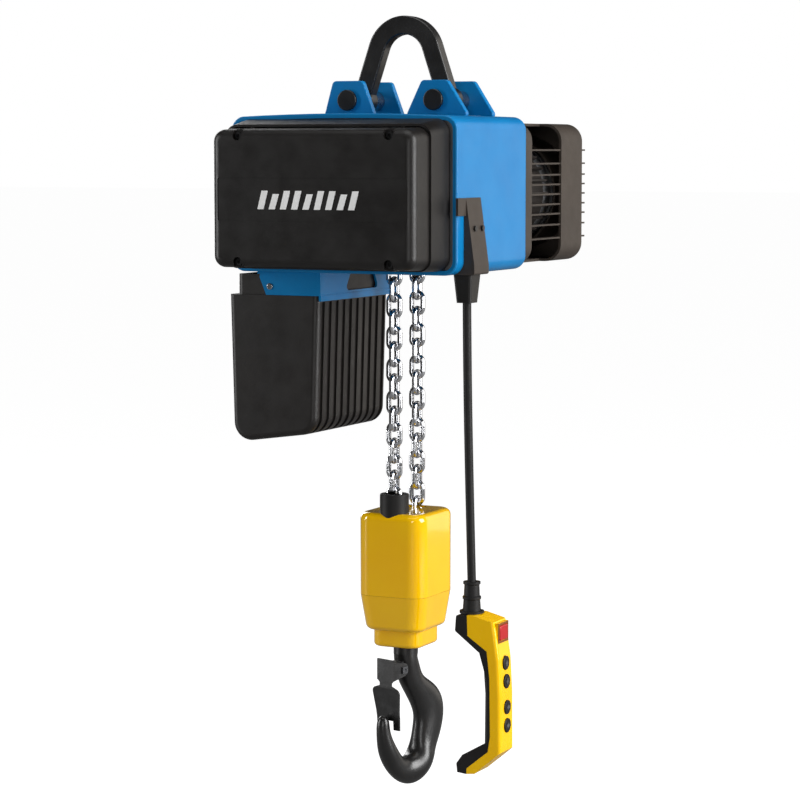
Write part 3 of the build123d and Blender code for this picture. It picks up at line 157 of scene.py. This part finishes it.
def surface(name, dark, light, rough, grain, grain_depth, metallic=0.0, coat=0.0, blotch=14.0,
            waviness=0.0, coat_rough=0.08, specular=0.5, stretch=None, wear=None):
    """A material whose colour, roughness and surface all vary a little, as a real finish does."""
    m = Nodes(name)
    broad = m.ramp(m.noise(blotch, blotch_detail), 0.0, 1.0)
    colour = m.mix(broad, linear(dark), linear(light))
    if wear:
        edge = m.tree.nodes.new("ShaderNodeNewGeometry").outputs["Pointiness"]
        patches = m.noise(scuff_scale, scuff_detail)
        scuffed = m.tree.nodes.new("ShaderNodeMath")
        scuffed.operation = "MULTIPLY"
        m.link(m.ramp(edge, 0.0, 1.0, edge_start, edge_end), scuffed.inputs[0])
        m.link(m.ramp(patches, 0.0, scuff_most, scuff_start, scuff_end), scuffed.inputs[1])
        colour = m.mix(scuffed.outputs["Value"], colour, linear(wear))
    m.link(colour, m.shader.inputs["Base Color"])
    uneven = m.noise(rough_scale, rough_detail)
    m.link(m.ramp(uneven, rough * rough_low, rough * rough_high), m.shader.inputs["Roughness"])
    m.shader.inputs["Metallic"].default_value = metallic
    m.shader.inputs["Specular IOR Level"].default_value = specular
    m.shader.inputs["Coat Weight"].default_value = coat
    m.shader.inputs["Coat Roughness"].default_value = coat_rough
    normal = m.bump(m.noise(grain, grain_detail, grain_rough, stretch), grain_depth, grain_height)
    if waviness:
        m.bump(m.noise(wave_scale, wave_detail), waviness, wave_height, normal)
    return m.material


blue_paint = surface("blue_paint", "0470ac", "0578b4", 0.34, 900.0, 0.05, coat=0.08, specular=0.25)
black_cover = surface("black_cover", "0d0a09", "120f0d", 0.42, 1500.0, 0.12, specular=0.45)
grey_plastic = surface("grey_plastic", "332c26", "3c342d", 0.55, 1300.0, 0.25, specular=0.4)
black_plastic = surface("black_plastic", "0a0808", "0f0c0b", 0.42, 1300.0, 0.2, specular=0.42)
rib_plastic = surface("rib_plastic", "100c0a", "16110e", 0.45, 1200.0, 0.15)
forged_black = surface("forged_black", "0d0c0c", "151414", 0.34, 320.0, 0.35, specular=0.6,
                       blotch=26.0, coat=0.15, coat_rough=0.2, waviness=0.03, wear="3a3a3b")
pin_black = surface("pin_black", "0e0e0f", "161617", 0.35, 700.0, 0.2)
bright_steel = surface("bright_steel", "9a9a9c", "b9b9ba", 0.26, 700.0, 0.15, metallic=1.0)
chain_nickel = surface("chain_nickel", "c4c5c8", "e6e7ea", 0.13, 500.0, 0.12, metallic=1.0,
                       blotch=60.0)
gear_steel = surface("gear_steel", "6c6d70", "8a8b8e", 0.32, 500.0, 0.25, metallic=1.0)
# painted shade: the motor frame's colour is made near black so the inside of the fan cover reads as
# shaded behind the slats; the part itself is a casting
painted_shade_casting = surface("painted_shade_casting", "1d1916", "2a2420", 0.55, 420.0, 0.5)
cast_aluminium = surface("cast_aluminium", "8d8e90", "a5a6a8", 0.5, 420.0, 0.5, metallic=0.9)
wound_core = surface("wound_core", "4b2b17", "6d4022", 0.45, 800.0, 0.6, metallic=0.2,
                     stretch=(1.0, 6.0, 1.0))
yellow_gloss = surface("yellow_gloss", "fcc000", "ffc900", 0.12, 1000.0, 0.02, coat=1.0,
                       specular=0.3, coat_rough=0.04)
pendant_yellow = surface("pendant_yellow", "fcc000", "ffc900", 0.26, 1300.0, 0.08, coat=0.1,
                         specular=0.3)
rubber_black = surface("rubber_black", "0b0a0a", "110f0f", 0.55, 900.0, 0.3, specular=0.35)
stop_red = surface("stop_red", "b0060e", "c00a14", 0.3, 900.0, 0.04, coat=0.3)
amber = surface("amber", "7a3f04", "8f5006", 0.3, 900.0, 0.08, coat=0.3)
controls_beige = surface("controls_beige", "a79e86", "b8b09a", 0.5, 900.0, 0.2)
print_white = surface("print_white", "f6f6f5", "ffffff", 0.42, 900.0, 0.08)
print_grey = surface("print_grey", "4b4c4b", "5a5b5a", 0.45, 900.0, 0.08)

finishes = {
    blue_paint: ["housing", "suspension_lugs", "container_bracket"],
    black_cover: ["cover_ring", "front_cover"],
    grey_plastic: ["fan_cover", "cable_bracket"],
    black_plastic: ["fan_guard", "chain_guide", "cooling_fan", "power_gland", "pendant_rear_shell",
                    "up_button", "down_button", "forward_button", "reverse_button", "cable_gland"],
    rib_plastic: ["chain_container"],
    forged_black: ["shackle", "hook", "latch", "chain_anchor"],
    pin_black: ["shackle_pins", "case_screws"],
    bright_steel: ["shackle_spacers", "block_screws", "container_rivets"],
    chain_nickel: ["front_chain_fall", "rear_chain_fall", "slack_chain"],
    gear_steel: ["load_wheel", "output_gear", "intermediate_gear", "shaft_bearings", "motor_shaft",
                 "brake_armature", "brake_disc", "thrust_bearing", "hook_nut", "hook_crosshead",
                 "sheave", "sheave_axle", "shackle_snap_rings", "latch_pin", "latch_spring"],
    cast_aluminium: ["gearbox_cover", "motor_flange", "brake_coil"],
    painted_shade_casting: ["motor_frame"],
    wound_core: ["stator", "rotor"],
    yellow_gloss: ["block_upper_shell", "block_lower_shell"],
    pendant_yellow: ["pendant_front_shell"],
    rubber_black: ["chain_buffer", "control_cable", "cable_boot"],
    stop_red: ["stop_button"],
    controls_beige: ["switch_block", "control_electrics"],
}
for material, names in finishes.items():
    for name in names:
        mesh = nodes[name].data
        mesh.materials.clear()
        mesh.materials.append(material)


# ---- pieces -------------------------------------------------------------------------------------
def piece(name, vertices, faces, body, material, thickness, offset=-1.0):
    """A flat piece that rides on a body. Offset -1 thickens it against its normal, 0 to both sides."""
    mesh = bpy.data.meshes.new(name)
    mesh.from_pydata(vertices, [], faces)
    mesh.update()
    made = add_object(name, mesh)
    mesh.materials.append(material)
    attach(made, body)
    thick = made.modifiers.new("thick", "SOLIDIFY")
    thick.thickness = thickness
    thick.offset = offset


# control cable: one smooth line from the gland to the boot
pendant_y = -0.098
cable_radius = 0.0055
cable_route = [(0.1325, pendant_y, -0.336), (0.1331, pendant_y, -0.415),
               (0.1362, pendant_y, -0.560), (0.1403, pendant_y, -0.697)]
cable_curve = bpy.data.curves.new("cable_line", "CURVE")
cable_curve.dimensions = "3D"
spline = cable_curve.splines.new("NURBS")
spline.points.add(len(cable_route) - 1)
for point, place in zip(spline.points, cable_route):
    point.co = (*place, 1.0)
spline.order_u = 3
spline.use_endpoint_u = True
spline.resolution_u = 16
cable_curve.bevel_depth = cable_radius
cable_curve.bevel_resolution = 8
cable_curve.use_fill_caps = True
cable_curve.materials.append(rubber_black)
cable = add_object("cable_sheath", cable_curve)
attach(cable, "pendant")
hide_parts("control_cable")

# generic white mark on the front cover: a row of slanted bars, every third one lower at the top
mark_y = -0.2247
bar_count, bar_pitch, bar_width, bar_slant = 9, 0.0158, 0.0086, 0.006
mark_left, mark_top, mark_bottom = -0.0960, -0.1990, -0.2220
top_step = 0.004
bar_points, bar_faces = [], []
for number in range(bar_count):
    left = mark_left + number * bar_pitch
    top = mark_top - top_step if number % 3 == 1 else mark_top
    first = len(bar_points)
    for x, z in ((left, mark_bottom), (left + bar_width, mark_bottom),
                 (left + bar_width + bar_slant, top), (left + bar_slant, top)):
        bar_points.append((x, mark_y, z))
    bar_faces.append((first, first + 1, first + 2, first + 3))
piece("cover_mark", bar_points, bar_faces, "hoist", print_white, 0.0005)

# amber frame round the stop button
stop_x, stop_z = 0.1836, -0.7525
frame_points, frame_faces = [], []
for half_y, half_z in ((0.0152, 0.0127), (0.0126, 0.0101)):
    for side_y, side_z in ((-1, -1), (1, -1), (1, 1), (-1, 1)):
        frame_points.append((stop_x, pendant_y + side_y * half_y, stop_z + side_z * half_z))
for number in range(4):
    after = (number + 1) % 4
    frame_faces.append((number, after, after + 4, number + 4))
piece("stop_surround", frame_points, frame_faces, "pendant", amber, 0.0012, offset=0.0)

# raised arrows on the four round buttons: button, X of its face, Z of its centre, turn in degrees
arrow_outline = [(-0.0042, -0.001), (0.0, 0.0042), (0.0042, -0.001), (0.0018, -0.001),
                 (0.0018, -0.0042), (-0.0018, -0.0042), (-0.0018, -0.001)]
arrow_lift = 0.0001
for body, face_x, centre_z, turn in (("up", 0.18876, -0.7914, 0), ("down", 0.19006, -0.8149, 180),
                                     ("forward", 0.19102, -0.8478, 90),
                                     ("reverse", 0.19118, -0.8711, 270)):
    swing = math.radians(turn)
    points = []
    for y, z in arrow_outline:
        points.append((face_x + arrow_lift, pendant_y + y * math.cos(swing) - z * math.sin(swing),
                       centre_z + y * math.sin(swing) + z * math.cos(swing)))
    piece(body + "_arrow", points, [tuple(range(len(points)))], body, print_grey, 0.0003)


# ---- light, floor and backdrop ------------------------------------------------------------------
hoist_middle = (0.0, 0.0, -0.45)


def area_light(name, place, size, power, colour=white):
    """A soft light that faces the middle of the hoist."""
    data = bpy.data.lights.new(name, "AREA")
    data.shape = "RECTANGLE"
    data.size, data.size_y = size
    data.energy = power
    data.color = colour
    made = add_object(name, data)
    made.location = place
    towards = Vector(hoist_middle) - Vector(place)
    made.rotation_euler = towards.to_track_quat("-Z", "Y").to_euler()


area_light("key_right", (3.4, 0.1, 0.5), (2.0, 2.8), 180.0)
area_light("rear_right", (1.9, 3.1, 0.1), (2.2, 3.0), 20.0, (1.0, 0.94, 0.86))
area_light("front_left", (-3.4, -1.9, 0.2), (0.35, 2.6), 75.0)
area_light("top", (0.2, -0.6, 2.4), (2.4, 2.4), 34.0)
area_light("front", (1.4, -3.6, -0.2), (1.0, 1.6), 22.0)
area_light("rear_left", (-2.4, 2.2, 0.4), (1.2, 2.4), 40.0)

# The world and the floor are white where they are seen and dim where they light the hoist.
world_dim, world_seen = 0.05, 1.0
floor_dim, floor_seen = 0.04, 0.97

world = bpy.data.worlds.new("world")
world.use_nodes = True
backdrop = world.node_tree.nodes["Background"]
backdrop.inputs["Color"].default_value = (*white, 1.0)
paths = world.node_tree.nodes.new("ShaderNodeLightPath")
strength = world.node_tree.nodes.new("ShaderNodeMapRange")
strength.inputs["To Min"].default_value = world_dim
strength.inputs["To Max"].default_value = world_seen
world.node_tree.links.new(paths.outputs["Is Camera Ray"], strength.inputs["Value"])
world.node_tree.links.new(strength.outputs["Result"], backdrop.inputs["Strength"])
bpy.context.scene.world = world
bpy.context.scene.view_settings.view_transform = "Standard"

floor_z = cad_low[2] - 0.22
reach = 60.0
floor_grey, floor_rough = 0.2, 0.8
floor_mesh = bpy.data.meshes.new("floor")
floor_mesh.from_pydata(
    [(-reach, -reach, floor_z), (reach, -reach, floor_z), (reach, reach, floor_z),
     (-reach, reach, floor_z)],
    [], [(0, 1, 2, 3)])
floor = add_object("floor", floor_mesh)
floor_nodes = Nodes("floor")
floor_nodes.shader.inputs["Base Color"].default_value = (floor_grey, floor_grey, floor_grey, 1.0)
floor_nodes.shader.inputs["Roughness"].default_value = floor_rough
floor_nodes.shader.inputs["Emission Color"].default_value = (*white, 1.0)
floor_paths = floor_nodes.tree.nodes.new("ShaderNodeLightPath")
floor_nodes.link(
    floor_nodes.ramp(floor_paths.outputs["Is Camera Ray"], floor_dim, floor_seen, 0.0, 1.0),
    floor_nodes.shader.inputs["Emission Strength"])
floor_mesh.materials.append(floor_nodes.material)
